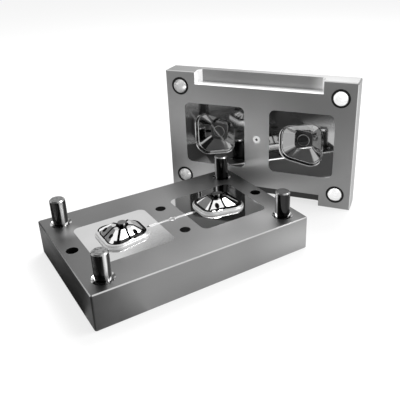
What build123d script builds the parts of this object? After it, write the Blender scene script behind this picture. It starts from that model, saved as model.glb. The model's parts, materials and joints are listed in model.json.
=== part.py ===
"""Two-cavity injection mould, open: the core half lies on its back, the cavity half stands behind it.

Lengths are in millimetres. The origin is the centre of the core half's underside, +Z is up,
+X runs along the cavity half's long edge and +Y points to the cavity half's back.
"""
import os
from math import atan2, degrees, hypot

from build123d import *

os.makedirs("parts", exist_ok=True)

# Plates
plate_length = 300
plate_width = 200
plate_edge_chamfer = 1.2
plate_corner_radius = 2.5

# Where the halves stand
core_half_turn = 53.66
cavity_half_shift = 57.9
cavity_half_distance = 186.3

# Fits, all radial or per side
press_gap = 0.01
slide_gap = 0.03
return_pin_gap = 0.05
clear_gap = 0.25
pillar_clearance = 1.0

# Core half, from its underside up
back_cover_thickness = 4
stop_button_height = 1
ejector_plate_thickness = 6
retainer_plate_thickness = 4.5
ejector_stroke = 13
roof_gap = 0.5
web_thickness = 4
core_insert_thickness = 15

# Ejector chamber in the underside of the core plate
chamber_half_length = 118
chamber_half_width = 52
chamber_corner_radius = 12
chamber_side_gap = 1
cover_ledge = 8

# Inserts
insert_size = 100
insert_corner_radius = 9
insert_spacing = 140
insert_gap = 0.02
insert_screw_spacing = 76

# The moulding, in its own plan: its narrow side faces the sprue
moulding_half_length = 33
moulding_wide_half = 37.5
moulding_narrow_half = 24.5
moulding_corner_radius = 19
draft_inset = 0.25

# Cavity, measured in from the parting face
mouth_chamfer = 1.0
skirt_depth = 6.5
shoulder_inset = 2.2
shoulder_chamfer = 0.7
cavity_depth = 19
cavity_plateau_half = 14
cavity_plateau_radius = 7
cavity_insert_thickness = 24
countersink_ring_radius = 9.5
countersink_ring_taper = 0.8
countersink_ring_height = 1

# Core, measured up from the parting face
rim_inset = 1.6
rim_height = 3.2
rim_chamfer = 0.6
step_inset = 3.2
step_height = 4.8
step_chamfer = 0.5
dome_inset = 7.8
dome_height = 14
dome_plateau_half = 12
dome_plateau_radius = 6
base_groove_width = 2
base_groove_depth = 1.8
rib_width = 3
rib_floor = 3.5
wide_rib_lean = 7
boss_radius = 8
boss_groove_depth = 6

# Core pins
core_pin_radius = 5.5
core_pin_head_radius = 7.5
core_pin_head_height = 3
shut_off_gap = 0.05

# Guide pins and bushes
guide_edge_distance = 24
guide_pin_radius = 10
guide_pin_reach = 35.5
guide_pin_tip_chamfer = 1.6
guide_head_radius = 12.5
guide_head_height = 6
guide_mouth_chamfer = 3.8
guide_mouth_depth = 2
guide_relief_width = 2
guide_relief_depth = 0.4
guide_relief_rise = 0.5
bush_radius = 14
bush_head_radius = 16.5
bush_head_height = 6
bush_bore_chamfer = 0.6

# Runner and sprue
runner_radius = 2.4
gate_length = 4
gate_width = 3
gate_depth = 0.8
sprue_well_radius = 4.75
sprue_well_depth = 6

# Ejector pins, puller and return pins
ejector_pin_radius = 3
ejector_head_radius = 5.5
ejector_head_height = 3
wide_pin_place = (-19.5, 10)
side_pin_place = (10, 17)
puller_tip_rise = 3
puller_neck_radius = 2.1
puller_neck_height = 1.4
return_pin_radius = 7
return_pin_head_radius = 9
return_pin_spacing = 70
return_pin_setback = 0.05
knock_out_radius = 12.5
knock_out_thread_radius = 4.25

# Pillars, stops and screws
pillar_radius = 9
pillar_spacing_x = 90
pillar_spacing_y = 84
stop_button_radius = 8
stop_spacing_x = 210
stop_spacing_y = 84
mounting_hole_edge = 14
mounting_hole_radius = 4.5
mounting_counterbore_radius = 7.5
mounting_counterbore_depth = 9
eyebolt_thread_radius = 5.1
eyebolt_thread_depth = 22
cavity_eyebolt_radius = 4.25
cavity_eyebolt_depth = 20

# Cavity plate
cavity_plate_thickness = 35
notch_length = 202
notch_height = 19.5
notch_depth = 20
notch_corner_radius = 8

# Sprue bush and locating ring
sprue_bush_radius = 6
sprue_head_radius = 14
sprue_head_height = 10
sprue_bore_small = 1.25
sprue_bore_large = 2
nozzle_seat_radius = 15.5
nozzle_seat_depth = 3
locating_ring_radius = 30
locating_ring_base_radius = 35
locating_ring_thickness = 12
locating_ring_recess = 4
locating_ring_relief_width = 1
locating_ring_relief_depth = 0.4
locating_ring_bore = 12
locating_ring_chamfer = 1.5
ring_screw_circle = 21.5
ring_screw_count = 3

# Screws: radius of the shank, of the head and of the hexagon socket across its corners
m4_shank = 2.0
m4_head = 3.7
m4_socket = 1.45
m5_shank = 2.5
m5_head = 4.6
m5_socket = 1.75
m6_shank = 3.0
m6_head = 5.0
m6_socket = 2.9
m6_head_height = 6
m6_seat_depth = 6.5
screw_gap = 0.1
screw_grip = 8
ring_screw_grip = 5
socket_depth = 1.5
cap_socket_depth = 3
cover_screw_end_spacing = 50
cover_screw_side_spacing = 120
ejector_screw_spacing_x = 200
ejector_screw_spacing_y = 40
ejector_middle_screw_spacing = 50

# Worked out from the sizes above
ejector_plate_floor = back_cover_thickness + stop_button_height
retainer_floor = ejector_plate_floor + ejector_plate_thickness
ejector_stack_top = retainer_floor + retainer_plate_thickness
chamber_roof = ejector_stack_top + ejector_stroke + roof_gap
core_insert_floor = chamber_roof + web_thickness
core_plate_thickness = core_insert_floor + core_insert_thickness
guide_spacing_x = plate_length - 2 * guide_edge_distance
guide_spacing_y = plate_width - 2 * guide_edge_distance
core_pin_top = cavity_depth - countersink_ring_height - shut_off_gap
mounting_hole_spacing = plate_length - 2 * mounting_hole_edge
side_slope = (moulding_wide_half - moulding_narrow_half) / (2 * moulding_half_length)

core_base = Plane.XY.rotated((0, 0, core_half_turn))
cavity_face = Plane(
    origin=(cavity_half_shift, cavity_half_distance, plate_width / 2),
    x_dir=(1, 0, 0),
    z_dir=(0, -1, 0),
)


def core_level(height):
    """Plane of the core half at a height above its underside."""
    return core_base.offset(height)


def cavity_level(depth):
    """Plane of the cavity half at a depth behind its parting face, facing the core half."""
    return cavity_face.offset(-depth)


def parting_level(height):
    """Plane of the core half at a height above its parting face."""
    return core_level(core_plate_thickness + height)


def finish(part, name):
    """Label a piece and write it."""
    part.part.label = name
    export_step(part.part, f"parts/{name}.step")


def side_point(x, inset):
    """Height of the moulding's slanted side at x, moved inwards by the inset."""
    return (
        moulding_narrow_half
        + (moulding_half_length - x) * side_slope
        - inset * hypot(1, side_slope)
    )


def moulding_outline(plane, centre_x, inset):
    """Rounded trapezoid whose narrow side faces the sprue."""
    towards_sprue = -1 if centre_x > 0 else 1
    half = moulding_half_length - inset
    wide = side_point(-half, inset)
    narrow = side_point(half, inset)
    corners = [(-half, -wide), (half, -narrow), (half, narrow), (-half, wide)]
    with BuildSketch(plane) as outline:
        with Locations((centre_x, 0)):
            Polygon([(towards_sprue * x, y) for x, y in corners], align=None)
        fillet(outline.vertices(), moulding_corner_radius - inset)
    return outline.sketch


def plateau(plane, centre_x, half, radius):
    """Rounded square at the top of the facets."""
    with BuildSketch(plane) as outline:
        with Locations((centre_x, 0)):
            RectangleRounded(2 * half, 2 * half, radius)
    return outline.sketch


def rounded_block(plane, length, width, radius):
    """Sketch of a rounded rectangle on the plane."""
    with BuildSketch(plane) as outline:
        RectangleRounded(length, width, radius)
    return outline.sketch


def insert_outline(plane, centre_x, growth):
    """Sketch of an insert's square, grown by a gap on each side."""
    size = insert_size + 2 * growth
    with BuildSketch(plane) as outline:
        with Locations((centre_x, 0)):
            RectangleRounded(size, size, insert_corner_radius + growth)
    return outline.sketch


def circles(plane, places, radius):
    """Sketch of equal circles at places on the plane."""
    with BuildSketch(plane) as outline:
        with Locations(*places):
            Circle(radius)
    return outline.sketch


def grid(spacing_x, spacing_y):
    """The four corners of a rectangle about the plane's centre."""
    return [(sx * spacing_x / 2, sy * spacing_y / 2) for sx in (-1, 1) for sy in (-1, 1)]


def shifted(places, centre_x):
    """Places moved along the long edge to an insert's centre."""
    return [(centre_x + x, y) for x, y in places]


def from_sprue(centre_x, x, y):
    """A place in the moulding's own plan, turned to the side of the sprue it lies on."""
    return (centre_x + x if centre_x < 0 else centre_x - x, y)


def ejector_places(centre_x):
    """The four ejector pins of one core."""
    places = []
    for x, y in (wide_pin_place, side_pin_place):
        for side in (-1, 1):
            places.append(from_sprue(centre_x, x, side * y))
    return places


insert_centres = {"left": -insert_spacing / 2, "right": insert_spacing / 2}
guide_places = grid(guide_spacing_x, guide_spacing_y)
insert_screw_places = grid(insert_screw_spacing, insert_screw_spacing)
return_places = [(0, -return_pin_spacing / 2), (0, return_pin_spacing / 2)]
pillar_places = grid(pillar_spacing_x, pillar_spacing_y)
stop_places = grid(stop_spacing_x, stop_spacing_y)
mounting_places = [(-mounting_hole_spacing / 2, 0), (mounting_hole_spacing / 2, 0)]
cover_screw_inset = cover_ledge / 2
cover_screw_places = grid(
    2 * (chamber_half_length + cover_screw_inset), cover_screw_end_spacing
) + grid(cover_screw_side_spacing, 2 * (chamber_half_width + cover_screw_inset))
ejector_screw_places = grid(ejector_screw_spacing_x, ejector_screw_spacing_y) + [
    (-ejector_middle_screw_spacing / 2, 0),
    (ejector_middle_screw_spacing / 2, 0),
]


def hex_sockets(plane, places, radius):
    """Sketch of the hexagon sockets of screws at places on the plane."""
    with BuildSketch(plane) as outline:
        with Locations(*places):
            RegularPolygon(radius, side_count=6)
    return outline.sketch


def countersunk_screws(plane, places, shank, head, socket, length):
    """Countersunk screws, heads flush with the plane, shanks against its normal."""
    with BuildPart() as screws:
        with Locations(plane):
            with Locations(*places):
                top = (Align.CENTER, Align.CENTER, Align.MAX)
                Cylinder(shank, length, align=top)
                Cone(shank, head, head - shank, align=top)
        extrude(
            hex_sockets(plane, places, socket), amount=-socket_depth, mode=Mode.SUBTRACT
        )
    return screws


# Core plate
cover_recess_length = 2 * (chamber_half_length + cover_ledge)
cover_recess_width = 2 * (chamber_half_width + cover_ledge)
core_underside_of_web = Plane(
    origin=(0, 0, chamber_roof), x_dir=core_base.x_dir, z_dir=(0, 0, -1)
)
core_bottom_face = Plane(origin=(0, 0, 0), x_dir=core_base.x_dir, z_dir=(0, 0, -1))
across_runner = Plane(
    origin=(0, 0, core_plate_thickness), x_dir=core_base.y_dir, z_dir=core_base.x_dir
)
core_back_side = Plane(
    origin=core_base.from_local_coords((0, plate_width / 2, core_plate_thickness / 2)),
    x_dir=core_base.x_dir,
    z_dir=core_base.y_dir,
)
runner_reach = insert_spacing / 2 - moulding_half_length - gate_length
gate_reach = insert_spacing / 2 - moulding_half_length + rim_inset / 2
rib_reach = moulding_half_length + moulding_wide_half


def runner_section():
    """Round section of the runner, half of it below the parting face."""
    with BuildSketch(across_runner) as section:
        Circle(runner_radius)
    return section.sketch


with BuildPart() as core_plate:
    extrude(
        rounded_block(core_level(0), plate_length, plate_width, plate_corner_radius),
        amount=core_plate_thickness,
    )
    flat_faces = core_plate.faces().filter_by(Axis.Z)
    chamfer(flat_faces.edges(), length=plate_edge_chamfer)
    for centre_x in insert_centres.values():
        extrude(
            insert_outline(parting_level(0), centre_x, insert_gap),
            amount=-core_insert_thickness,
            mode=Mode.SUBTRACT,
        )
        extrude(
            circles(core_level(0), ejector_places(centre_x), ejector_pin_radius + clear_gap),
            amount=core_plate_thickness,
            mode=Mode.SUBTRACT,
        )
    extrude(
        rounded_block(
            core_level(0), 2 * chamber_half_length, 2 * chamber_half_width, chamber_corner_radius
        ),
        amount=chamber_roof,
        mode=Mode.SUBTRACT,
    )
    extrude(
        rounded_block(
            core_level(0),
            cover_recess_length,
            cover_recess_width,
            chamber_corner_radius + cover_ledge,
        ),
        amount=back_cover_thickness,
        mode=Mode.SUBTRACT,
    )
    with Locations(parting_level(0)):
        with Locations(*guide_places):
            CounterSinkHole(
                radius=guide_pin_radius + press_gap,
                counter_sink_radius=guide_pin_radius + guide_mouth_chamfer,
                depth=core_plate_thickness,
                counter_sink_angle=2 * degrees(atan2(guide_mouth_chamfer, guide_mouth_depth)),
            )
        with Locations(*mounting_places):
            CounterBoreHole(
                radius=mounting_hole_radius,
                counter_bore_radius=mounting_counterbore_radius,
                counter_bore_depth=mounting_counterbore_depth,
                depth=core_plate_thickness,
            )
        with Locations(*return_places):
            Hole(return_pin_radius + return_pin_gap, depth=core_plate_thickness - chamber_roof)
        CounterBoreHole(
            radius=ejector_pin_radius + slide_gap,
            counter_bore_radius=sprue_well_radius,
            counter_bore_depth=sprue_well_depth,
            depth=core_plate_thickness - chamber_roof,
        )
    extrude(
        circles(core_level(0), guide_places, guide_head_radius + clear_gap),
        amount=guide_head_height + clear_gap,
        mode=Mode.SUBTRACT,
    )
    with Locations(core_underside_of_web):
        for centre_x in insert_centres.values():
            with Locations(*shifted(insert_screw_places, centre_x)):
                CounterSinkHole(
                    radius=m5_shank + screw_gap,
                    counter_sink_radius=m5_head + screw_gap,
                    depth=web_thickness,
                    counter_sink_angle=90,
                )
    extrude(
        circles(core_level(back_cover_thickness), cover_screw_places, m4_shank + press_gap),
        amount=screw_grip,
        mode=Mode.SUBTRACT,
    )
    extrude(runner_section(), amount=runner_reach, both=True, mode=Mode.SUBTRACT)
    with Locations(core_back_side):
        Hole(eyebolt_thread_radius, depth=eyebolt_thread_depth)
finish(core_plate, "core_plate")


# Core inserts, the raised cores and what passes through them
def rib_angles():
    """Rib slots run to both slanted sides, to the wide side and to the four corners.

    Those at the wide side's corners lean towards the slanted sides.
    """
    half = moulding_half_length - dome_inset
    narrow = degrees(atan2(side_point(half, dome_inset), half))
    wide = degrees(atan2(side_point(-half, dome_inset), -half)) - wide_rib_lean
    return [narrow, 90, wide, 180, -wide, -90, -narrow]


for side, centre_x in insert_centres.items():
    towards_sprue = 0 if centre_x < 0 else 180
    pin_places = ejector_places(centre_x)

    with BuildPart() as core_form:
        loft(
            [
                moulding_outline(parting_level(0), centre_x, rim_inset),
                moulding_outline(parting_level(rim_height), centre_x, rim_inset + draft_inset),
            ],
            ruled=True,
        )
        chamfer(core_form.faces().sort_by(Axis.Z)[-1].edges(), length=rim_chamfer)
        extrude(
            moulding_outline(parting_level(rim_height), centre_x, step_inset),
            amount=step_height - rim_height,
        )
        chamfer(core_form.faces().sort_by(Axis.Z)[-1].edges(), length=step_chamfer)
        loft(
            [
                moulding_outline(parting_level(step_height), centre_x, dome_inset),
                plateau(
                    parting_level(dome_height), centre_x, dome_plateau_half, dome_plateau_radius
                ),
            ],
            ruled=True,
        )

    with BuildSketch(parting_level(rib_floor)) as rib_slots:
        for angle in rib_angles():
            with Locations(Location((centre_x, 0), towards_sprue + angle)):
                with Locations((boss_radius - rib_width / 2, 0)):
                    Rectangle(rib_reach, rib_width, align=(Align.MIN, Align.CENTER))
        add(moulding_outline(Plane.XY, centre_x, dome_inset), mode=Mode.INTERSECT)

    with BuildPart() as core_insert:
        extrude(
            insert_outline(core_level(core_insert_floor), centre_x, 0),
            amount=core_insert_thickness,
        )
        add(core_form.part)
        base_groove = moulding_outline(
            parting_level(step_height), centre_x, dome_inset - base_groove_width
        ) - moulding_outline(parting_level(step_height), centre_x, dome_inset)
        extrude(base_groove, amount=-base_groove_depth, mode=Mode.SUBTRACT)
        extrude(rib_slots.sketch, amount=dome_height, mode=Mode.SUBTRACT)
        with Locations(parting_level(dome_height)):
            with Locations((centre_x, 0)):
                CounterBoreHole(
                    radius=core_pin_radius + press_gap,
                    counter_bore_radius=boss_radius,
                    counter_bore_depth=boss_groove_depth,
                    depth=dome_height + core_insert_thickness,
                )
        extrude(
            circles(
                core_level(core_insert_floor), [(centre_x, 0)], core_pin_head_radius + clear_gap
            ),
            amount=core_pin_head_height,
            mode=Mode.SUBTRACT,
        )
        extrude(
            circles(core_level(core_insert_floor), pin_places, ejector_pin_radius + slide_gap),
            amount=core_insert_thickness + dome_height,
            mode=Mode.SUBTRACT,
        )
        extrude(
            circles(
                core_level(core_insert_floor),
                shifted(insert_screw_places, centre_x),
                m5_shank + press_gap,
            ),
            amount=screw_grip,
            mode=Mode.SUBTRACT,
        )
        extrude(runner_section(), amount=runner_reach, both=True, mode=Mode.SUBTRACT)
        with BuildSketch(parting_level(0)):
            Rectangle(2 * gate_reach, gate_width)
        extrude(amount=-gate_depth, mode=Mode.SUBTRACT)
    finish(core_insert, f"core_insert_{side}")

    with BuildPart() as core_pin:
        extrude(
            circles(core_level(core_insert_floor), [(centre_x, 0)], core_pin_head_radius),
            amount=core_pin_head_height,
        )
        extrude(
            circles(core_level(core_insert_floor), [(centre_x, 0)], core_pin_radius),
            amount=core_insert_thickness + core_pin_top,
        )
    finish(core_pin, f"core_pin_{side}")

    with BuildPart() as pin_tips:
        add(core_form.part)
        extrude(
            circles(parting_level(0), pin_places, ejector_pin_radius),
            amount=dome_height,
            mode=Mode.INTERSECT,
        )

    with BuildPart() as ejector_pins:
        extrude(
            circles(core_level(retainer_floor), pin_places, ejector_head_radius),
            amount=ejector_head_height,
        )
        extrude(
            circles(core_level(retainer_floor), pin_places, ejector_pin_radius),
            amount=core_plate_thickness - retainer_floor,
        )
        add(pin_tips.part)
    finish(ejector_pins, f"ejector_pins_{side}")

    screws = countersunk_screws(
        core_underside_of_web,
        shifted(insert_screw_places, centre_x),
        m5_shank,
        m5_head,
        m5_socket,
        web_thickness + screw_grip,
    )
    finish(screws, f"core_insert_screws_{side}")


# Guide pins: headed at the underside, with a chamfered tip and a relief groove at the foot of the
# running part
relief_top = core_plate_thickness + guide_relief_rise

for x, y in guide_places:
    with BuildPart() as guide_pin:
        extrude(
            circles(core_level(clear_gap), [(x, y)], guide_head_radius), amount=guide_head_height
        )
        extrude(
            circles(core_level(clear_gap), [(x, y)], guide_pin_radius),
            amount=core_plate_thickness + guide_pin_reach - clear_gap,
        )
        chamfer(guide_pin.faces().sort_by(Axis.Z)[-1].edges(), length=guide_pin_tip_chamfer)
        with BuildSketch(core_level(relief_top)):
            with Locations((x, y)):
                Circle(guide_pin_radius)
                Circle(guide_pin_radius - guide_relief_depth, mode=Mode.SUBTRACT)
        extrude(amount=-guide_relief_width, mode=Mode.SUBTRACT)
    end = "front" if y < 0 else "back"
    hand = "left" if x < 0 else "right"
    finish(guide_pin, f"guide_pin_{end}_{hand}")


# Ejector set: the two plates, their screws, the puller and the return pins
def ejector_outline(height):
    """Plan of the ejector plates, a gap inside the chamber's wall."""
    return rounded_block(
        core_level(height),
        2 * (chamber_half_length - chamber_side_gap),
        2 * (chamber_half_width - chamber_side_gap),
        chamber_corner_radius - chamber_side_gap,
    )


ejector_underside = Plane(
    origin=(0, 0, ejector_plate_floor), x_dir=core_base.x_dir, z_dir=(0, 0, -1)
)

with BuildPart() as ejector_plate:
    extrude(ejector_outline(ejector_plate_floor), amount=ejector_plate_thickness)
    with Locations(core_level(retainer_floor)):
        with Locations(*pillar_places):
            Hole(pillar_radius + pillar_clearance, depth=ejector_plate_thickness)
        Hole(knock_out_thread_radius, depth=ejector_plate_thickness)
    with Locations(ejector_underside):
        with Locations(*ejector_screw_places):
            CounterSinkHole(
                radius=m5_shank + screw_gap,
                counter_sink_radius=m5_head + screw_gap,
                depth=ejector_plate_thickness,
                counter_sink_angle=90,
            )
finish(ejector_plate, "ejector_plate")

with BuildPart() as ejector_retainer_plate:
    extrude(ejector_outline(retainer_floor), amount=retainer_plate_thickness)
    all_pin_places = ejector_places(insert_centres["left"]) + ejector_places(
        insert_centres["right"]
    )
    extrude(
        circles(core_level(retainer_floor), all_pin_places + [(0, 0)], ejector_pin_radius + clear_gap)
        + circles(core_level(retainer_floor), return_places, return_pin_radius + clear_gap)
        + circles(core_level(retainer_floor), pillar_places, pillar_radius + pillar_clearance)
        + circles(core_level(retainer_floor), ejector_screw_places, m5_shank + press_gap),
        amount=retainer_plate_thickness,
        mode=Mode.SUBTRACT,
    )
    extrude(
        circles(core_level(retainer_floor), all_pin_places + [(0, 0)], ejector_head_radius + clear_gap)
        + circles(core_level(retainer_floor), return_places, return_pin_head_radius + clear_gap),
        amount=ejector_head_height,
        mode=Mode.SUBTRACT,
    )
finish(ejector_retainer_plate, "ejector_retainer_plate")

finish(
    countersunk_screws(
        ejector_underside,
        ejector_screw_places,
        m5_shank,
        m5_head,
        m5_socket,
        ejector_plate_thickness + retainer_plate_thickness,
    ),
    "ejector_plate_screws",
)

with BuildPart() as return_pins:
    extrude(
        circles(core_level(retainer_floor), return_places, return_pin_head_radius),
        amount=ejector_head_height,
    )
    extrude(
        circles(core_level(retainer_floor), return_places, return_pin_radius),
        amount=core_plate_thickness - return_pin_setback - retainer_floor,
    )
finish(return_pins, "return_pins")

puller_tip = core_plate_thickness - sprue_well_depth + puller_tip_rise
with BuildPart() as sprue_puller_pin:
    extrude(
        circles(core_level(retainer_floor), [(0, 0)], ejector_head_radius),
        amount=ejector_head_height,
    )
    extrude(
        circles(core_level(retainer_floor), [(0, 0)], ejector_pin_radius),
        amount=puller_tip - retainer_floor,
    )
    with BuildSketch(core_level(puller_tip - puller_tip_rise)):
        Circle(ejector_pin_radius)
        Circle(puller_neck_radius, mode=Mode.SUBTRACT)
    extrude(amount=puller_neck_height, mode=Mode.SUBTRACT)
finish(sprue_puller_pin, "sprue_puller_pin")


# Back cover of the chamber, with what stands on it
with BuildPart() as back_cover:
    extrude(
        rounded_block(
            core_level(0),
            cover_recess_length - 2 * insert_gap,
            cover_recess_width - 2 * insert_gap,
            chamber_corner_radius + cover_ledge - insert_gap,
        ),
        amount=back_cover_thickness,
    )
    with Locations(core_bottom_face):
        Hole(knock_out_radius, depth=back_cover_thickness)
        with Locations(*cover_screw_places):
            CounterSinkHole(
                radius=m4_shank + screw_gap,
                counter_sink_radius=m4_head + screw_gap,
                depth=back_cover_thickness,
                counter_sink_angle=90,
            )
finish(back_cover, "back_cover")

finish(
    countersunk_screws(
        core_bottom_face,
        cover_screw_places,
        m4_shank,
        m4_head,
        m4_socket,
        back_cover_thickness + screw_grip,
    ),
    "back_cover_screws",
)

with BuildPart() as stop_buttons:
    extrude(
        circles(core_level(back_cover_thickness), stop_places, stop_button_radius),
        amount=stop_button_height,
    )
finish(stop_buttons, "stop_buttons")

with BuildPart() as support_pillars:
    extrude(
        circles(core_level(back_cover_thickness), pillar_places, pillar_radius),
        amount=chamber_roof - back_cover_thickness,
    )
finish(support_pillars, "support_pillars")


# Cavity plate, with a clamp notch in each long edge
cavity_back = Plane(
    origin=(cavity_half_shift, cavity_half_distance + cavity_plate_thickness, plate_width / 2),
    x_dir=(-1, 0, 0),
    z_dir=(0, 1, 0),
)
ring_seat = cavity_plate_thickness - locating_ring_recess
sprue_head_floor = ring_seat - sprue_head_height


def notch_outline(height):
    """Plan of a clamp notch: its two inner corners are round, the rest lies outside the plate."""
    with BuildSketch(
        Plane(origin=(cavity_half_shift, cavity_half_distance, height), z_dir=(0, 0, 1))
    ) as outline:
        RectangleRounded(notch_length, 2 * notch_depth, notch_corner_radius)
    return outline.sketch


with BuildPart() as cavity_plate:
    extrude(
        rounded_block(cavity_level(0), plate_length, plate_width, plate_corner_radius),
        amount=-cavity_plate_thickness,
    )
    flat_faces = cavity_plate.faces().filter_by(Axis.Y)
    chamfer(flat_faces.edges(), length=plate_edge_chamfer)
    extrude(notch_outline(plate_width), amount=-notch_height, mode=Mode.SUBTRACT)
    extrude(notch_outline(0), amount=notch_height, mode=Mode.SUBTRACT)
    for centre_x in insert_centres.values():
        extrude(
            insert_outline(cavity_level(0), centre_x, insert_gap),
            amount=-cavity_insert_thickness,
            mode=Mode.SUBTRACT,
        )
        with Locations(cavity_back):
            with Locations(*shifted(insert_screw_places, centre_x)):
                CounterBoreHole(
                    radius=m6_shank + screw_gap,
                    counter_bore_radius=m6_head + screw_gap,
                    counter_bore_depth=m6_seat_depth,
                    depth=cavity_plate_thickness - cavity_insert_thickness,
                )
    with Locations(cavity_back):
        with Locations(*guide_places):
            CounterBoreHole(
                radius=bush_radius + press_gap,
                counter_bore_radius=bush_head_radius + clear_gap,
                counter_bore_depth=bush_head_height,
                depth=cavity_plate_thickness,
            )
        CounterBoreHole(
            radius=sprue_bush_radius + press_gap,
            counter_bore_radius=sprue_head_radius + clear_gap,
            counter_bore_depth=cavity_plate_thickness - sprue_head_floor,
            depth=cavity_plate_thickness,
        )
        Hole(locating_ring_base_radius + insert_gap, depth=locating_ring_recess)
        with PolarLocations(ring_screw_circle, ring_screw_count, start_angle=90):
            Hole(m5_shank + press_gap, depth=locating_ring_recess + ring_screw_grip)
    with Locations(
        Plane(
            origin=(
                cavity_half_shift - plate_length / 2,
                cavity_half_distance + cavity_plate_thickness / 2,
                plate_width / 2,
            ),
            z_dir=(-1, 0, 0),
        )
    ):
        Hole(cavity_eyebolt_radius, depth=cavity_eyebolt_depth)
finish(cavity_plate, "cavity_plate")


# Cavity inserts and their screws
for side, centre_x in insert_centres.items():
    with BuildPart() as cavity_insert:
        extrude(
            insert_outline(cavity_level(0), centre_x, 0), amount=-cavity_insert_thickness
        )
        loft(
            [
                moulding_outline(cavity_level(0), centre_x, 0),
                moulding_outline(cavity_level(skirt_depth), centre_x, draft_inset),
            ],
            ruled=True,
            mode=Mode.SUBTRACT,
        )
        loft(
            [
                moulding_outline(cavity_level(0), centre_x, -mouth_chamfer),
                moulding_outline(cavity_level(mouth_chamfer), centre_x, 0),
            ],
            ruled=True,
            mode=Mode.SUBTRACT,
        )
        loft(
            [
                moulding_outline(cavity_level(skirt_depth), centre_x, shoulder_inset),
                plateau(
                    cavity_level(cavity_depth), centre_x, cavity_plateau_half, cavity_plateau_radius
                ),
            ],
            ruled=True,
            mode=Mode.SUBTRACT,
        )
        loft(
            [
                moulding_outline(
                    cavity_level(skirt_depth), centre_x, shoulder_inset - shoulder_chamfer
                ),
                moulding_outline(
                    cavity_level(skirt_depth + shoulder_chamfer), centre_x, shoulder_inset
                ),
            ],
            ruled=True,
            mode=Mode.SUBTRACT,
        )
        loft(
            [
                circles(cavity_level(cavity_depth), [(centre_x, 0)], countersink_ring_radius),
                circles(
                    cavity_level(cavity_depth - countersink_ring_height),
                    [(centre_x, 0)],
                    countersink_ring_radius - countersink_ring_taper,
                ),
            ]
        )
        extrude(
            circles(
                cavity_level(cavity_insert_thickness),
                shifted(insert_screw_places, centre_x),
                m6_shank + press_gap,
            ),
            amount=screw_grip,
            mode=Mode.SUBTRACT,
        )
    finish(cavity_insert, f"cavity_insert_{side}")

    with BuildPart() as cavity_screws:
        with Locations(cavity_back):
            with Locations(*shifted(insert_screw_places, -centre_x)):
                seat = (Align.CENTER, Align.CENTER, Align.MAX)
                with Locations((0, 0, m6_head_height - m6_seat_depth)):
                    Cylinder(m6_head, m6_head_height, align=seat)
                with Locations((0, 0, -m6_seat_depth)):
                    Cylinder(
                        m6_shank,
                        cavity_plate_thickness
                        - cavity_insert_thickness
                        - m6_seat_depth
                        + screw_grip,
                        align=seat,
                    )
        extrude(
            hex_sockets(
                cavity_back.offset(m6_head_height - m6_seat_depth),
                shifted(insert_screw_places, -centre_x),
                m6_socket,
            ),
            amount=-cap_socket_depth,
            mode=Mode.SUBTRACT,
        )
    finish(cavity_screws, f"cavity_insert_screws_{side}")


# Guide bushes, shouldered at the plate's back
for x, y in guide_places:
    with BuildPart() as guide_bush:
        extrude(circles(cavity_level(0), [(x, y)], bush_radius), amount=-cavity_plate_thickness)
        extrude(
            circles(cavity_level(cavity_plate_thickness), [(x, y)], bush_head_radius),
            amount=bush_head_height,
        )
        extrude(
            circles(cavity_level(0), [(x, y)], guide_pin_radius + slide_gap),
            amount=-cavity_plate_thickness,
            mode=Mode.SUBTRACT,
        )
        mouth = guide_bush.faces().sort_by(Axis.Y)[0].edges().sort_by(SortBy.RADIUS)[0]
        chamfer(mouth, length=bush_bore_chamfer)
    end = "lower" if y < 0 else "upper"
    hand = "left" if x < 0 else "right"
    finish(guide_bush, f"guide_bush_{end}_{hand}")


# Sprue bush: tapered bore, round seat for the machine's nozzle
with BuildPart() as sprue_bush:
    extrude(circles(cavity_level(0), [(0, 0)], sprue_bush_radius), amount=-ring_seat)
    extrude(circles(cavity_level(ring_seat), [(0, 0)], sprue_head_radius), amount=sprue_head_height)
    loft(
        [
            circles(cavity_level(0), [(0, 0)], sprue_bore_large),
            circles(cavity_level(ring_seat), [(0, 0)], sprue_bore_small),
        ],
        mode=Mode.SUBTRACT,
    )
    with Locations(cavity_level(ring_seat + nozzle_seat_radius - nozzle_seat_depth)):
        Sphere(nozzle_seat_radius, mode=Mode.SUBTRACT)
finish(sprue_bush, "sprue_bush")


# Locating ring: its base lies in the plate's recess, the smaller part stands out of the back
ring_back = cavity_level(ring_seat + locating_ring_thickness)
ring_screw_plane = cavity_back.offset(locating_ring_thickness - locating_ring_recess)
with BuildPart() as locating_ring:
    extrude(circles(ring_back, [(0, 0)], locating_ring_radius), amount=locating_ring_thickness)
    chamfer(locating_ring.faces().sort_by(Axis.Y)[-1].edges(), length=locating_ring_chamfer)
    extrude(
        circles(cavity_level(cavity_plate_thickness), [(0, 0)], locating_ring_base_radius),
        amount=locating_ring_recess,
    )
    with BuildSketch(cavity_level(cavity_plate_thickness)):
        Circle(locating_ring_radius)
        Circle(locating_ring_radius - locating_ring_relief_depth, mode=Mode.SUBTRACT)
    extrude(amount=-locating_ring_relief_width, mode=Mode.SUBTRACT)
    extrude(
        circles(ring_back, [(0, 0)], locating_ring_bore),
        amount=locating_ring_thickness,
        mode=Mode.SUBTRACT,
    )
    with Locations(ring_screw_plane):
        with PolarLocations(ring_screw_circle, ring_screw_count, start_angle=90):
            CounterSinkHole(
                radius=m5_shank + screw_gap,
                counter_sink_radius=m5_head + screw_gap,
                depth=locating_ring_thickness,
                counter_sink_angle=90,
            )
finish(locating_ring, "locating_ring")

with PolarLocations(ring_screw_circle, ring_screw_count, start_angle=90) as ring_screws:
    ring_screw_places = [
        (place.position.X, place.position.Y) for place in ring_screws.local_locations
    ]
finish(
    countersunk_screws(
        ring_screw_plane,
        ring_screw_places,
        m5_shank,
        m5_head,
        m5_socket,
        locating_ring_thickness + ring_screw_grip,
    ),
    "locating_ring_screws",
)
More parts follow.
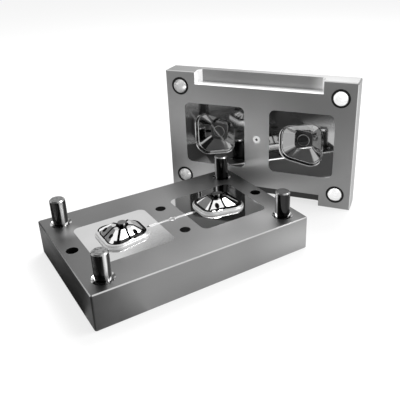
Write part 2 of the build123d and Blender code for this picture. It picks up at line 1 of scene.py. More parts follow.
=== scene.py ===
"""Looks of an open two-cavity injection mould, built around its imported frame.

Blender places and sizes are in metres. Finishes are placed in millimetres.
"""
import json
from math import cos, hypot, radians, sin, sqrt

import bpy
from mathutils import Matrix, Vector


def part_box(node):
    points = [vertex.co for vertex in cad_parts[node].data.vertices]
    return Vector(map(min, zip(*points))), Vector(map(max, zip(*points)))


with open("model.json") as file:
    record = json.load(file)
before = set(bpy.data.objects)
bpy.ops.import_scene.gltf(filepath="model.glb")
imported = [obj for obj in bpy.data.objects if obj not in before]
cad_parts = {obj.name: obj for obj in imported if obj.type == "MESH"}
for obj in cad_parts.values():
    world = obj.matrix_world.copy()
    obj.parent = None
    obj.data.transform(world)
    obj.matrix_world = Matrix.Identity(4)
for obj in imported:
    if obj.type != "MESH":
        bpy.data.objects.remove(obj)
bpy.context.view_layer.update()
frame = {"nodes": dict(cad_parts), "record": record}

MM = 0.001

# Camera of the photograph: where it stands and looks, and its frame of 400 by 400 pixels
CAMERA_PLACE = (0.2976, -0.5590, 0.3939)
CAMERA_HEADING = radians(110.479)
CAMERA_PITCH = radians(24.585)
CAMERA_ROLL = radians(-1.126)
FRAME_PIXELS = 400
FOCAL_PIXELS = 536.19
VIEW_CENTRE_PIXELS = (234.0, 177.54)
SENSOR_MM = 36.0

# Core half, in mm in its own axes: it is turned about Z, and its top is the parting face
CORE_HALF_TURN = radians(53.66)
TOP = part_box("core_plate")[1].z / MM
PLATE_HALF_LENGTH, PLATE_HALF_WIDTH = 150, 100
SIDE_MARGIN = 5
UPPER_CHAMFER_FROM, LOWER_CHAMFER_TO = 46.5, 1.3
HOLES_FROM = 20
COUNTERBORE_DEPTHS = (5, 12)
FOOT_RING_RADIUS = 16
SKIN = 0.01
RUNNER_HALF_WIDTH, RUNNER_LIT_FROM = 2.5, 1.6
RUNNER_HALF_LENGTH, RUNNER_DEPTH = 42, 2.6
RUNNER_INSERT_FROM = 20
WELL_RADIUS, WELL_DEPTH = 4.8, 6.1

# The cores: a rim on the moulding's outline, a groove inside it and a dome
CORE_SPACING = 140
MOULDING_HALF, MOULDING_NARROW_HALF = 33, 24.5
MOULDING_SIDE_SLOPE = 13 / 66
MOULDING_CORNER = 19
RIM_STEP, RIM_TOP = TOP + 2.4, TOP + 4.8
GROOVE_OUTER, GROOVE_INNER = 5.8, 7.8
GROOVE_FLOOR = TOP + 3.0
DOME_TOP = TOP + 14
LEFT_SIDE = 2.2
MISS = 0.3

# Cavity half, in mm in the frame's axes: depths run from its parting face along +Y
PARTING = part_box("cavity_plate")[0].y / MM
CAVITY_CENTRE = (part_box("cavity_plate")[0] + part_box("cavity_plate")[1]) / 2 / MM
CAVITY_TOP = 199
NOTCH_HALF_LENGTH = 101.5
NOTCH_Y = (187, 207)
UPPER_NOTCH_Z, LOWER_NOTCH_Z = (180, 199), (1, 20)
NOTCH_FLOOR_TO = 190
NOTCH_END_TILT = 0.25
LIP_DEPTH, SHOULDER_DEPTHS = 1.1, (6.4, 7.3)
FACET_DEPTHS = (7.3, 15.5)
RING_RADIUS, RING_DEPTH = 9.6, 15
BUSH_BORE_RADIUS, SPRUE_BORE_RADIUS = 10.9, 4

# Headings, in the frame's axes, of the band painted as a highlight on each side's pins, and of the
# side of their feet painted black as painted shade, turned into the core half's axes
LEFT_PAINTED_HIGHLIGHT, RIGHT_PAINTED_HIGHLIGHT = radians(331), radians(232)
PAINTED_SHADE_FOOT_HEADING = radians(292) - CORE_HALF_TURN
PAINTED_SHADE_FOOT_COSINE = 0.6
PAINTED_HIGHLIGHT_COSINES = (0.965, 0.99)

# Limits of a normal's part along an axis: a face that looks along it, a wall beside it,
# a rougher limit for a wall, a chamfer or cone between the two, and a facet
FACING = 0.9
BESIDE = 0.1
UPRIGHT = 0.2
SLANT_FROM, SLANT_TO = 0.3, 0.97
TILT = 0.35

# Scales of the noise in the finishes, in cells per metre
GROUND_LINES, PLAIN_LINES, MILLED_LINES = 2500, 500, 300
MOTTLE, BORE_HAZE = 300.0, 90.0

# Studio, in metres
FLOOR_SIZE, FLOOR_GLOW = 40.0, 0.7
MAT_HEIGHT = 0.4 * MM
FLAG_FADE_REACH, FLAG_FADE = 0.62, (0.1, 0.45)
SOFT_LIGHT = 0.8


class Nodes:
    """Short calls for the nodes of a material or of the world."""

    def __init__(self, tree):
        self.tree = tree

    def node(self, kind, **values):
        made = self.tree.nodes.new(kind)
        for key, value in values.items():
            setattr(made, key, value)
        return made

    def join(self, source, target):
        self.tree.links.new(source, target)

    def noise(self, vector, scale, detail, roughness=0.5):
        made = self.node("ShaderNodeTexNoise")
        made.inputs["Scale"].default_value = scale
        made.inputs["Detail"].default_value = detail
        made.inputs["Roughness"].default_value = roughness
        self.join(vector, made.inputs["Vector"])
        return made.outputs["Fac"]

    def between(self, factor, low, high, start=0.3, end=0.7, kind="LINEAR"):
        """A number that runs from low to high while the factor runs from start to end."""
        made = self.node("ShaderNodeMapRange", interpolation_type=kind)
        made.inputs["From Min"].default_value = start
        made.inputs["From Max"].default_value = end
        made.inputs["To Min"].default_value = low
        made.inputs["To Max"].default_value = high
        self.join(factor, made.inputs["Value"])
        return made.outputs["Result"]

    def blend(self, factor, first, second):
        """Colour between two colours."""
        made = self.node("ShaderNodeMix", data_type="RGBA")
        for socket, value in ((6, first), (7, second)):
            if isinstance(value, tuple):
                made.inputs[socket].default_value = (*value, 1)
            else:
                self.join(value, made.inputs[socket])
        self.join(factor, made.inputs[0])
        return made.outputs[2]

    def spot(self, vector, place, reach):
        """1 at a place, falling to 0 at its reach along each axis."""
        around = self.node("ShaderNodeMapping", vector_type="TEXTURE")
        around.inputs["Location"].default_value = place
        around.inputs["Scale"].default_value = reach
        self.join(vector, around.inputs["Vector"])
        fade = self.node("ShaderNodeTexGradient", gradient_type="SPHERICAL")
        self.join(around.outputs["Vector"], fade.inputs["Vector"])
        return fade.outputs["Fac"]

    def seen_by(self, *rays):
        """1 for these kinds of ray and 0 for all others."""
        path = self.node("ShaderNodeLightPath")
        seen = path.outputs[rays[0]]
        for ray in rays[1:]:
            either = self.node("ShaderNodeMath", operation="MAXIMUM")
            self.join(seen, either.inputs[0])
            self.join(path.outputs[ray], either.inputs[1])
            seen = either.outputs[0]
        return seen


class Finish(Nodes):
    """A material with one Principled shader."""

    def __init__(self, name, metallic, roughness, specular=0.5):
        self.material = bpy.data.materials.new(name)
        self.material.use_nodes = True
        super().__init__(self.material.node_tree)
        self.shader = self.tree.nodes["Principled BSDF"]
        self.shader.inputs["Metallic"].default_value = metallic
        self.shader.inputs["Roughness"].default_value = roughness
        self.shader.inputs["Specular IOR Level"].default_value = specular

    def place(self, turn=0.0, stretch=(1, 1, 1)):
        """Object coordinates, turned about Z to the plate's own axes and stretched."""
        coordinates = self.node("ShaderNodeTexCoord")
        turned = self.node("ShaderNodeMapping")
        turned.inputs["Rotation"].default_value = (0, 0, -turn)
        self.join(coordinates.outputs["Object"], turned.inputs["Vector"])
        scaled = self.node("ShaderNodeMapping")
        scaled.inputs["Scale"].default_value = stretch
        self.join(turned.outputs["Vector"], scaled.inputs["Vector"])
        return scaled.outputs["Vector"]

    def clouded(self, clouds, tone, variation):
        """A grey that is a little lighter and darker with the clouds."""
        darker, lighter = grey(tone * (1 - variation)), grey(tone * (1 + variation))
        return self.blend(self.between(clouds, 0, 1), darker, lighter)

    def colour(self, source):
        self.join(source, self.shader.inputs["Base Color"])

    def roughness(self, source):
        self.join(source, self.shader.inputs["Roughness"])

    def bump(self, height, strength, distance):
        made = self.node("ShaderNodeBump")
        made.inputs["Strength"].default_value = strength
        made.inputs["Distance"].default_value = distance
        self.join(height, made.inputs["Height"])
        self.join(made.outputs["Normal"], self.shader.inputs["Normal"])

    def mix_shaders(self, factor, first, second):
        """The surface runs from the first shader to the second with the factor."""
        mix = self.node("ShaderNodeMixShader")
        self.join(factor, mix.inputs["Fac"])
        self.join(first, mix.inputs[1])
        self.join(second, mix.inputs[2])
        self.join(mix.outputs["Shader"], self.tree.nodes["Material Output"].inputs["Surface"])


def grey(value):
    return (value, value, value)


def in_metres(millimetres):
    return [value * MM for value in millimetres]


def ground(name, turn, tone, roughness, lines_per_metre=GROUND_LINES, metallic=1.0, painted_light_spots=()):
    """Surface-ground steel: fine parallel lines along the plate and soft clouds.

    Each painted light spot is a soft painted highlight, lighter by its gain, or painted shade where
    the gain is below 1: its place and reach in mm and its gain.
    """
    finish = Finish(name, metallic, roughness)
    stretch = (8, lines_per_metre, lines_per_metre)
    lines = finish.noise(finish.place(turn, stretch), scale=1.0, detail=3.0, roughness=0.6)
    clouds = finish.noise(finish.place(turn), scale=7.0, detail=2.0)
    line_tone = finish.blend(finish.between(lines, 0, 1), grey(0.985), grey(1.0))
    product = finish.node("ShaderNodeMix", data_type="RGBA", blend_type="MULTIPLY")
    product.inputs[0].default_value = 1.0
    finish.join(finish.clouded(clouds, tone, 0.12), product.inputs[6])
    finish.join(line_tone, product.inputs[7])
    colour = product.outputs[2]
    for place, reach, gain in painted_light_spots:
        spot = finish.spot(finish.place(turn), in_metres(place), in_metres(reach))
        lit = finish.node("ShaderNodeVectorMath", operation="SCALE")
        finish.join(colour, lit.inputs["Vector"])
        finish.join(finish.between(spot, 1.0, gain, 0, 1, "SMOOTHSTEP"), lit.inputs["Scale"])
        colour = lit.outputs["Vector"]
    finish.colour(colour)
    finish.roughness(finish.between(clouds, roughness - 0.02, roughness + 0.02))
    finish.bump(lines, strength=0.04, distance=0.02 * MM)
    return finish.material


def polished(name, tone, roughness, cloud_scale=22.0, variation=0.04, metallic=1.0, specular=0.5):
    """Polished steel with a faint haze."""
    finish = Finish(name, metallic, roughness, specular)
    clouds = finish.noise(finish.place(), cloud_scale, detail=3.0)
    finish.colour(finish.clouded(clouds, tone, variation))
    finish.roughness(finish.between(clouds, roughness * 0.6, roughness * 1.5))
    return finish.material


def facet(name, tone, roughness, painted_shade_strip):
    """Polished steel whose lowest strip, in mm, is painted near-black: painted shade and a painted
    reflection of the dark groove at the dome's base.
    """
    finish = Finish(name, 1.0, roughness)
    height = finish.node("ShaderNodeSeparateXYZ")
    finish.join(finish.place(), height.inputs["Vector"])
    painted_shade_end = (RIM_TOP + painted_shade_strip) * MM
    above_painted_shade = finish.between(height.outputs["Z"], 0, 1, painted_shade_end, painted_shade_end + 0.2 * MM)
    clouds = finish.noise(finish.place(), scale=22.0, detail=3.0)
    finish.colour(finish.blend(above_painted_shade, grey(0.01), finish.clouded(clouds, tone, 0.04)))
    return finish.material


def chromed(name, tone, painted_highlight_heading, painted_highlight_tone=0.9, roughness=0.07):
    """Dark mirror-bright pin with one bright upright band, a painted highlight, that faces a
    heading.
    """
    finish = Finish(name, 1.0, roughness)
    coordinates = finish.node("ShaderNodeTexCoord")
    facing = finish.node("ShaderNodeVectorMath", operation="DOT_PRODUCT")
    finish.join(coordinates.outputs["Normal"], facing.inputs[0])
    facing.inputs[1].default_value = (cos(painted_highlight_heading), sin(painted_highlight_heading), 0)
    painted_highlight = finish.between(facing.outputs["Value"], 0, 1, *PAINTED_HIGHLIGHT_COSINES)
    clouds = finish.noise(finish.place(), scale=40.0, detail=3.0)
    finish.colour(finish.blend(painted_highlight, finish.clouded(clouds, tone, 0.2), grey(painted_highlight_tone)))
    finish.roughness(finish.between(painted_highlight, roughness, 0.35, 0, 1))
    return finish.material


# Painted highlights on the plates' faces, one of them a painted reflection of a guide pin: each a
# place and reach in mm and a gain
CORE_PAINTED_LIGHT = (
    ((95, 20, 48), (170, 110, 60), 1.7),
    ((-125, 46, 48), (22, 22, 30), 2.2),
    ((107, -70, 48), (45, 45, 60), 1.35),
)
END_PAINTED_LIGHT = (((-150, 95, 45), (60, 180, 64), 4.6),)
FRONT_PAINTED_LIGHT = (((150, -100, 24), (110, 60, 60), 1.65),)
CAVITY_PAINTED_LIGHT = (((5, 187, 85), (210, 60, 125), 3.1),)
CAVITY_TOP_PAINTED_LIGHT = (((208, 205, 200), (260, 100, 60), 2.5),)
NOTCH_PAINTED_LIGHT = (((162, 205, 190), (30, 30, 40), 3.0),)

finishes = {
    # Plates, by face: the end, front and cavity top are lighter or darker copies of one ground
    # steel, painted light and shade
    "ground_core": ground("ground_core", CORE_HALF_TURN, 0.14, 0.36, painted_light_spots=CORE_PAINTED_LIGHT),
    "ground_end": ground("ground_end", CORE_HALF_TURN, 0.2, 0.34, painted_light_spots=END_PAINTED_LIGHT),
    "ground_front": ground("ground_front", CORE_HALF_TURN, 0.25, 0.36, painted_light_spots=FRONT_PAINTED_LIGHT),
    "ground_cavity": ground("ground_cavity", 0.0, 0.3, 0.38, painted_light_spots=CAVITY_PAINTED_LIGHT),
    "ground_top": ground("ground_top", 0.0, 0.19, 0.38, painted_light_spots=CAVITY_TOP_PAINTED_LIGHT),
    # The notch's floor and ends take pale copies, painted light, and the lower notch a near-black
    # one, painted shade
    "milled": ground("milled_notch", 0.0, 0.25, 0.34, MILLED_LINES, 0.6, NOTCH_PAINTED_LIGHT),
    "milled_floor": ground("milled_notch_floor", 0.0, 0.9, 0.4, MILLED_LINES, 0.2),
    "milled_end": ground("milled_notch_end", 0.0, 0.9, 0.5, MILLED_LINES, 0.1),
    "shadowed": ground("painted_shade_notch", 0.0, 0.06, 0.4, MILLED_LINES),
    "plain_steel": ground("plain_steel", CORE_HALF_TURN, 0.34, 0.38, PLAIN_LINES),
    # Chamfers and lips take a bright copy of the steel: painted highlights
    "lip_edge": polished("lip_edge", 0.6, 0.12),
    # Inserts, cores and cavities
    "polished_steel": polished("polished_steel", 0.62, 0.05),
    # The right core insert's flat face is a darker copy: painted shade
    "darker_face": polished("darker_insert_face", 0.55, 0.06),
    # The dome's facets take pale copies of the polished steel, painted light, with a strip painted
    # near-black at their foot, taller on the left core: painted shade
    "facet_left": facet("left_core_facet", 0.93, 0.05, painted_shade_strip=2.0),
    "facet_right": facet("right_core_facet", 0.93, 0.05, painted_shade_strip=0.9),
    "facet_end": polished("core_end_facet", 0.93, 0.05),
    # The rims take paler, duller copies of the steel: painted light
    "rim_wall": polished("rim_wall", 0.8, 0.5, metallic=0.3),
    "rim_edge": polished("rim_edge", 0.68, 0.3, metallic=0.6),
    # Rib slots, boss groove and the groove round the dome, painted near-black: painted shade
    "groove": polished("painted_shade_groove", 0.008, 0.4, metallic=0.0, specular=0.0),
    # The runner's wall and the well take a bright copy: painted highlights; the inserts' runner
    # floor a darker, rougher copy: painted shade
    "bright_edge": polished("bright_edge", 0.88, 0.12, metallic=0.6),
    "runner_floor": polished("runner_floor", 0.3, 0.35),
    "cavity_steel": polished("polished_cavity_steel", 0.4, 0.05),
    # The right cavity's upper facet and the rings take pale copies: painted highlights
    "lit_facet": polished("lit_cavity_facet", 0.85, 0.25, metallic=0.4),
    "ring_edge": polished("ring_edge", 0.9, 0.5),
    # The right core pin's top is a darker copy than the left: painted shade
    "core_pin_left": polished("left_core_pin_top", 0.1, 0.4, MOTTLE, 0.3),
    "core_pin_right": polished("right_core_pin_top", 0.035, 0.4, MOTTLE, 0.3),
    # Pins, bushes and screws
    # The pins are dark mirror steel with a painted highlight band; the right pins are a darker
    # copy, painted shade
    "pin_steel": chromed("pin_steel", 0.13, LEFT_PAINTED_HIGHLIGHT),
    "right_pin_steel": chromed("right_pin_steel", 0.03, RIGHT_PAINTED_HIGHLIGHT),
    # The right guide pins' tops are a darker copy than the left: painted shade
    "pin_top_left": polished("left_pin_top", 0.16, 0.4, MOTTLE, 0.4),
    "pin_top_right": polished("right_pin_top", 0.025, 0.4, MOTTLE, 0.4, metallic=0.0, specular=0.3),
    "soft_edge": polished("soft_edge", 0.38, 0.2),
    # Also painted on the core plate's holes and on one side of each guide pin's foot: painted shade
    "dark_pin_end": polished("dark_pin_end", 0.006, 0.4, metallic=0.0, specular=0.0),
    "black_ring": polished("black_ring", 0.006, 0.25, metallic=0.0, specular=0.2),
    # The right bores take a paler copy than the left: painted light; the sprue bush is painted
    # white: a painted highlight
    "bore_left": polished("bore_left", 0.55, 0.3, BORE_HAZE, 0.3),
    "bore_right": polished("bore_right", 0.9, 0.2, BORE_HAZE, 0.1),
    "sprue_face": polished("sprue_face", 0.97, 0.45, metallic=0.0),
    "sprue_bore": polished("sprue_bore", 0.97, 0.1, variation=0.02),
    "screw_black": polished("screw_black", 0.04, 0.35),
}
# Nodes whose finish isn't the one of their material slot
NODE_FINISH = {
    "core_plate": "ground_core",
    "cavity_plate": "ground_cavity",
    "cavity_insert_left": "cavity_steel",
    "cavity_insert_right": "cavity_steel",
    # The sprue puller pin takes the pale ring finish, a painted highlight, and the right guide pins
    # a darker pin steel, painted shade
    "sprue_puller_pin": "ring_edge",
    "guide_pin_front_right": "right_pin_steel",
    "guide_pin_back_right": "right_pin_steel",
}
SIDES = ("left", "right")


def dress_nodes():
    """Every CAD node takes the finish of its slot, or one of its own."""
    for subpart in frame["record"]["subparts"]:
        name = NODE_FINISH.get(subpart["node"], subpart["material_slot"])
        for material_slot in frame["nodes"][subpart["node"]].material_slots:
            material_slot.material = finishes[name]


def in_core_axes(vector):
    """A place or direction in the core half's own axes."""
    return Matrix.Rotation(-CORE_HALF_TURN, 3, "Z") @ vector


def in_frame_axes(vector):
    return vector


def paint(node, finish, chosen, axes=in_core_axes):
    """Gives the faces that a rule chooses, by their middle in mm and their normal, a finish."""
    mesh = frame["nodes"][node].data
    mesh.materials.append(finishes[finish])
    index = len(mesh.materials) - 1
    for face in mesh.polygons:
        if chosen(axes(face.center) / MM, axes(face.normal)):
            face.material_index = index


def slants(amount):
    """True for a normal's part along an axis on a chamfer or a cone, not on a face or a wall."""
    return SLANT_FROM < abs(amount) < SLANT_TO


def middle_of(box):
    low, high = box
    return (low + high) / 2 / MM


def inset_of(place):
    """How far a place lies inside the outline of the moulding with its round corners."""
    towards_sprue = CORE_SPACING / 2 - abs(place.x)
    side = MOULDING_NARROW_HALF + (MOULDING_HALF - towards_sprue) * MOULDING_SIDE_SLOPE
    slant = hypot(1, MOULDING_SIDE_SLOPE)
    lean = MOULDING_SIDE_SLOPE / slant * (1 if towards_sprue > 0 else -1)
    from_end = MOULDING_HALF - abs(towards_sprue)
    from_side = (side - abs(place.y)) / slant
    past_end, past_side = MOULDING_CORNER - from_end, MOULDING_CORNER - from_side
    if past_end > lean * past_side and past_side > lean * past_end:
        across = past_end**2 + past_side**2 - 2 * lean * past_end * past_side
        return MOULDING_CORNER - sqrt(across / (1 - lean**2))
    return min(from_end, from_side)


def on_left_side(place):
    """True on the side of either core that faces the mould's left end."""
    centre = CORE_SPACING / 2 if place.x > 0 else -CORE_SPACING / 2
    return place.x - centre < GROOVE_OUTER - MOULDING_HALF + LEFT_SIDE


def runner(place, normal):
    """The wall of the runner and the well under the sprue, which are painted bright: painted
    highlights.
    """
    lit_wall = (
        RUNNER_LIT_FROM < place.y < RUNNER_HALF_WIDTH
        and place.z > TOP - RUNNER_DEPTH
        and abs(place.x) < RUNNER_HALF_LENGTH
    )
    well = hypot(place.x, place.y) < WELL_RADIUS and place.z > TOP - WELL_DEPTH
    return (lit_wall or well) and place.z < TOP - SKIN


def paint_core_plate():
    """End and front faces in lighter copies of the ground steel, chamfers and runner in bright
    copies as painted highlights, and holes and one side of each pin's foot painted black as painted
    shade.
    """

    # Painted shade: the walls and counterbore floors of the holes are painted black
    def inside_of_hole(place, normal):
        within = (
            abs(place.x) < PLATE_HALF_LENGTH - SIDE_MARGIN
            and abs(place.y) < PLATE_HALF_WIDTH - SIDE_MARGIN
        )
        wall = within and abs(normal.z) < BESIDE and place.z > HOLES_FROM
        least, most = COUNTERBORE_DEPTHS
        return wall or (normal.z > FACING and TOP - most < place.z < TOP - least)

    # Painted light: the end and front faces take lighter copies of the ground steel, each with
    # painted highlights
    def end(place, normal):
        return normal.x < -FACING and place.x < SIDE_MARGIN - PLATE_HALF_LENGTH

    def front(place, normal):
        return normal.y < -FACING and place.y < SIDE_MARGIN - PLATE_HALF_WIDTH

    # Painted highlight: the chamfers take a bright copy of the steel
    def edge(place, normal):
        at_chamfer = place.z > UPPER_CHAMFER_FROM or place.z < LOWER_CHAMFER_TO
        return slants(normal.z) and at_chamfer and abs(place.y) > SIDE_MARGIN

    pin_middles = [
        in_core_axes(middle_of(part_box(f"guide_pin_{row}_{side}")))
        for row in ("front", "back")
        for side in SIDES
    ]

    # Painted shade: the chamfer round each guide pin's foot is painted black on one side
    def painted_shade_at_foot(place, normal):
        if place.z < UPPER_CHAMFER_FROM or not slants(normal.z):
            return False
        for middle in pin_middles:
            away = place - middle
            across = hypot(away.x, away.y)
            near = away.x * cos(PAINTED_SHADE_FOOT_HEADING) + away.y * sin(PAINTED_SHADE_FOOT_HEADING)
            if across < FOOT_RING_RADIUS and near > PAINTED_SHADE_FOOT_COSINE * across:
                return True
        return False

    paint("core_plate", "dark_pin_end", inside_of_hole)
    paint("core_plate", "ground_end", end)
    paint("core_plate", "ground_front", front)
    paint("core_plate", "lip_edge", edge)
    paint("core_plate", "bright_edge", runner)
    paint("core_plate", "dark_pin_end", painted_shade_at_foot)


def paint_pins():
    """Mottled tops and soft edges of the guide pins and core pins; the right side's tops are darker
    copies, painted shade.
    """

    def top(place, normal):
        return normal.z > FACING and place.z > TOP

    def core_pin_top(place, normal):
        return normal.z > FACING and place.z > DOME_TOP

    def top_edge(place, normal):
        return slants(normal.z) and place.z > TOP

    for side in SIDES:
        paint(f"core_pin_{side}", f"core_pin_{side}", core_pin_top)
        for row in ("front", "back"):
            paint(f"guide_pin_{row}_{side}", f"pin_top_{side}", top)
            paint(f"guide_pin_{row}_{side}", "soft_edge", top_edge)


def paint_cores():
    """Rims in paler copies of the steel and facets in bright ones as painted light; rib slots, boss
    groove and groove round the dome painted near-black as painted shade, the groove left bare on
    the side towards the mould's left end; the right insert's flat face a darker copy, painted
    shade.
    """

    def flat_top(place, normal):
        return normal.z > 0.99 and abs(place.z - TOP) < 0.1

    # Painted shade: the runner's floor in the inserts takes a darker, rougher copy of the steel
    def runner_floor(place, normal):
        return (
            abs(place.y) < RUNNER_HALF_WIDTH
            and TOP - RUNNER_DEPTH < place.z < TOP - SKIN
            and RUNNER_INSERT_FROM < abs(place.x) < RUNNER_HALF_LENGTH
        )

    # Painted light: the rim's chamfer and wall take paler, duller copies of the steel
    def rim_edge(place, normal):
        on_rim = RIM_STEP < place.z < RIM_TOP + 0.05
        return slants(normal.z) and on_rim and inset_of(place) < GROOVE_OUTER

    def rim_wall(place, normal):
        on_rim = TOP < place.z < RIM_TOP
        inset = inset_of(place)
        return abs(normal.z) < UPRIGHT and on_rim and -1 < inset < GROOVE_OUTER - MISS

    def dome(place, normal):
        return slants(normal.z) and place.z > RIM_TOP and inset_of(place) > GROOVE_INNER - MISS

    def end_facet(place, normal):
        return dome(place, normal) and normal.x < -TILT

    # Painted shade: the walls and floors of the rib slots, boss groove and groove round the dome
    # are painted near-black
    def dark(place, normal):
        inset = inset_of(place)
        upright, level = abs(normal.z) < UPRIGHT, normal.z > SLANT_TO
        base_groove = (
            GROOVE_OUTER - MISS < inset < GROOVE_INNER + MISS
            and GROOVE_FLOOR - 0.5 < place.z < RIM_TOP - 0.1
            and not on_left_side(place)
        )
        rib_wall = upright and inset > GROOVE_INNER - MISS and place.z > GROOVE_FLOOR
        floors_from = GROOVE_INNER + MISS if on_left_side(place) else GROOVE_OUTER
        floor = level and inset > floors_from and place.z < DOME_TOP - 1
        return (base_groove and (upright or level)) or rib_wall or floor

    # Painted shade: the right insert's flat face takes a darker copy of the polished steel
    paint("core_insert_right", "darker_face", flat_top)
    for side in SIDES:
        insert = f"core_insert_{side}"
        paint(insert, "runner_floor", runner_floor)
        paint(insert, "bright_edge", runner)
        paint(insert, "rim_edge", rim_edge)
        paint(insert, "rim_wall", rim_wall)
        paint(insert, f"facet_{side}", dome)
        paint(insert, "facet_end", end_facet)
        paint(insert, "groove", dark)


def depth_of(place):
    return place.y - PARTING


def paint_cavities():
    """Lips and rings in bright copies of the steel, and the right cavity's upper facet in a pale
    one: painted highlights.
    """

    def upper_facet(place, normal):
        least, most = FACET_DEPTHS
        return normal.z < -TILT and abs(normal.x) < TILT and least < depth_of(place) < most

    def lip(place, normal):
        least, most = SHOULDER_DEPTHS
        at_lip = depth_of(place) < LIP_DEPTH or least < depth_of(place) < most
        return slants(normal.y) and at_lip

    def ring(place, normal):
        middle = CORE_SPACING / 2 if place.x > CAVITY_CENTRE.x else -CORE_SPACING / 2
        across = hypot(place.x - CAVITY_CENTRE.x - middle, place.z - CAVITY_CENTRE.z)
        return across < RING_RADIUS and depth_of(place) > RING_DEPTH and abs(normal.y) < FACING

    paint("cavity_insert_right", "lit_facet", upper_facet, in_frame_axes)
    for side in SIDES:
        paint(f"cavity_insert_{side}", "lip_edge", lip, in_frame_axes)
        paint(f"cavity_insert_{side}", "ring_edge", ring, in_frame_axes)


def paint_cavity_plate():
    """Ground top with painted highlights, milled notches whose floor and ends are pale copies as
    painted light, the lower notch near-black as painted shade, and chamfers in a bright copy as
    painted highlights.
    """

    # Painted highlight: the chamfers take a bright copy of the steel
    def edge(place, normal):
        return slants(normal.y) and (abs(normal.x) < BESIDE or abs(normal.z) < BESIDE)

    def top(place, normal):
        return normal.z > FACING and place.z > CAVITY_TOP

    def in_notch(place, heights):
        within = abs(place.x - CAVITY_CENTRE.x) < NOTCH_HALF_LENGTH
        return within and heights[0] < place.z < heights[1] and NOTCH_Y[0] < place.y < NOTCH_Y[1]

    def notch(place, normal):
        return in_notch(place, UPPER_NOTCH_Z)

    def notch_floor(place, normal):
        return notch(place, normal) and normal.z > FACING and place.z < NOTCH_FLOOR_TO

    def notch_end(place, normal):
        return notch(place, normal) and abs(normal.x) > NOTCH_END_TILT

    def lower_notch(place, normal):
        return in_notch(place, LOWER_NOTCH_Z)

    paint("cavity_plate", "lip_edge", edge, in_frame_axes)
    paint("cavity_plate", "ground_top", top, in_frame_axes)
    paint("cavity_plate", "milled", notch, in_frame_axes)
    paint("cavity_plate", "milled_floor", notch_floor, in_frame_axes)
    paint("cavity_plate", "milled_end", notch_end, in_frame_axes)
    paint("cavity_plate", "shadowed", lower_notch, in_frame_axes)


def paint_bore(node, finish, middle, radius, most_slant):
    """The inner wall of a bush, within a radius of its middle."""

    def inner(place, normal):
        across = hypot(place.x - middle.x, place.z - middle.z)
        return across < radius and abs(normal.y) < most_slant

    paint(node, finish, inner, in_frame_axes)


def paint_bushes():
    """Pale bores in the black guide bushes, the right ones paler as painted light, and a sprue bush
    painted white with a pale mirror bore: a painted highlight.
    """
    for end in ("upper", "lower"):
        for side in SIDES:
            bush = f"guide_bush_{end}_{side}"
            middle = middle_of(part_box(bush))
            paint_bore(bush, f"bore_{side}", middle, BUSH_BORE_RADIUS, most_slant=0.95)
    paint("sprue_bush", "sprue_face", lambda place, normal: True, in_frame_axes)
    paint_bore("sprue_bush", "sprue_bore", CAVITY_CENTRE, SPRUE_BORE_RADIUS, most_slant=0.9)


def show_floor():
    """A plain pale floor that stays near white and keeps a soft shadow."""
    bpy.ops.mesh.primitive_plane_add(size=FLOOR_SIZE, location=(0.02, 0.0, 0.0))
    floor = bpy.context.object
    floor.name = "floor"
    finish = Finish("floor_white", 0.0, 0.9, 0.0)
    finish.shader.inputs["Base Color"].default_value = (*grey(0.88), 1)
    share = finish.node("ShaderNodeMath", operation="MULTIPLY")
    share.inputs[1].default_value = FLOOR_GLOW
    finish.join(finish.seen_by("Is Camera Ray", "Is Glossy Ray"), share.inputs[0])
    glow = finish.node("ShaderNodeEmission")
    finish.mix_shaders(share.outputs[0], finish.shader.outputs["BSDF"], glow.outputs["Emission"])
    floor.data.materials.append(finish.material)


def show_in_reflections(name, place, rotation, size, tone):
    """A flat studio flag of cloth that fades out towards its edge. Only reflections see it."""
    bpy.ops.mesh.primitive_plane_add(size=1.0, location=place)
    card = bpy.context.object
    card.name = name
    card.rotation_euler = rotation
    card.scale = (*size, 1)
    card.visible_camera = False
    card.visible_diffuse = False
    card.visible_shadow = False
    finish = Finish(f"{name}_cloth", 0.0, 1.0, 0.0)
    finish.shader.inputs["Base Color"].default_value = (*grey(tone), 1)
    coordinates = finish.node("ShaderNodeTexCoord")
    reach = (FLAG_FADE_REACH, FLAG_FADE_REACH, 1)
    fade = finish.spot(coordinates.outputs["UV"], (0.5, 0.5, 0), reach)
    clear = finish.node("ShaderNodeBsdfTransparent")
    shown = finish.between(fade, 0, 1, *FLAG_FADE)
    finish.mix_shaders(shown, clear.outputs["BSDF"], finish.shader.outputs["BSDF"])
    card.data.materials.append(finish.material)


def towards(heading, elevation):
    """A direction, from its heading and elevation in radians."""
    level = cos(elevation)
    return Vector((level * cos(heading), level * sin(heading), sin(elevation)))


def show_card(name, heading, elevation, distance, size, tone):
    """A flag in the air, square to the line from the object."""
    away = towards(radians(heading), radians(elevation))
    rotation = away.to_track_quat("Z", "Y").to_euler()
    show_in_reflections(name, away * distance, rotation, size, tone)


def show_mat(name, place, size, turn, tone):
    """A flag that lies on the floor."""
    show_in_reflections(name, (place[0], place[1], MAT_HEIGHT), (0, 0, turn), size, tone)


def beside_core_half(x, y):
    """A place on the floor in the frame's axes, from one in mm in the core half's own axes."""
    return Matrix.Rotation(CORE_HALF_TURN, 3, "Z") @ Vector((x, y, 0)) * MM


def light_world():
    """White background for camera, glossy and transmission rays; soft light for the rest."""
    world = bpy.data.worlds.new("studio")
    bpy.context.scene.world = world
    world.use_nodes = True
    studio = Nodes(world.node_tree)
    background = studio.tree.nodes["Background"]
    background.inputs["Color"].default_value = (1, 1, 1, 1)
    seen = studio.seen_by("Is Camera Ray", "Is Glossy Ray", "Is Transmission Ray")
    strength = studio.between(seen, SOFT_LIGHT, 1.0, 0, 1)
    studio.join(strength, background.inputs["Strength"])


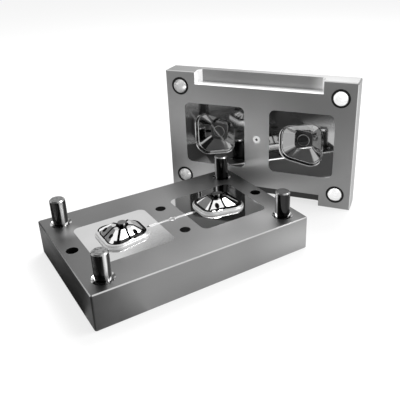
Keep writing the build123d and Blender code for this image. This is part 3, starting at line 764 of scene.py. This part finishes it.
def area_light(name, place, target, size, power):
    lamp = bpy.data.lights.new(name, "AREA")
    lamp.shape = "RECTANGLE"
    lamp.size, lamp.size_y = size
    lamp.energy = power
    holder = bpy.data.objects.new(name, lamp)
    holder.location = place
    holder.rotation_euler = (Vector(target) - Vector(place)).to_track_quat("-Z", "Y").to_euler()
    bpy.context.scene.collection.objects.link(holder)


def set_camera():
    """The photograph's camera, turned about its view axis by its roll."""
    forward = towards(CAMERA_HEADING, -CAMERA_PITCH)
    level = forward.cross(Vector((0, 0, 1))).normalized()
    upward = level.cross(forward)
    right = cos(CAMERA_ROLL) * level + sin(CAMERA_ROLL) * upward
    up = cos(CAMERA_ROLL) * upward - sin(CAMERA_ROLL) * level
    lens = bpy.data.cameras.new("camera")
    lens.sensor_width = SENSOR_MM
    lens.lens = FOCAL_PIXELS / FRAME_PIXELS * SENSOR_MM
    lens.shift_x = (FRAME_PIXELS / 2 - VIEW_CENTRE_PIXELS[0]) / FRAME_PIXELS
    lens.shift_y = (VIEW_CENTRE_PIXELS[1] - FRAME_PIXELS / 2) / FRAME_PIXELS
    lens.clip_start = 0.01
    lens.clip_end = 50.0
    camera = bpy.data.objects.new("camera", lens)
    axes = Matrix((right, up, -forward)).transposed()
    camera.matrix_world = Matrix.Translation(CAMERA_PLACE) @ axes.to_4x4()
    bpy.context.scene.collection.objects.link(camera)
    bpy.context.scene.camera = camera


dress_nodes()
paint_core_plate()
paint_pins()
paint_cores()
paint_cavities()
paint_cavity_plate()
paint_bushes()

# Cards take heading and elevation in degrees, distance, size and tone.
# Mats take place, size, turn and tone.
show_floor()
light_world()
show_card("card_behind_camera", 283, 30, 2.5, (4.0, 2.0), 0.02)
show_card("card_left", 165, 31, 2.5, (1.1, 1.3), 0.19)
show_card("card_low_left", 180, 2, 1.6, (1.4, 0.7), 0.02)
show_card("card_high_front", 260, 55, 2.5, (5.6, 1.7), 0.15)
show_card("card_low_front", 251, 27, 2.4, (1.5, 1.0), 0.06)
show_card("card_back", 114, 38, 2.5, (0.9, 0.7), 0.3)
show_mat("mat_end", beside_core_half(-258, -30), (0.34, 0.7), CORE_HALF_TURN, 0.06)
show_mat("mat_left", (-0.2, 0.0), (0.32, 0.5), 0, 0.05)
show_mat("mat_camera_side", (0.05, -0.44), (0.9, 0.56), 0, 0.02)
show_mat("mat_right", (0.36, 0.06), (0.3, 0.3), 0, 0.5)
area_light("right_softbox", (0.75, 0.45, 1.3), (0.05, 0.0, 0.05), (0.6, 0.9), 10)
area_light("back_softbox", (-0.07, 1.04, 1.58), (0.1, 0.1, 0.05), (1.0, 0.8), 30)
set_camera()
bpy.context.scene.view_settings.view_transform = "Standard"
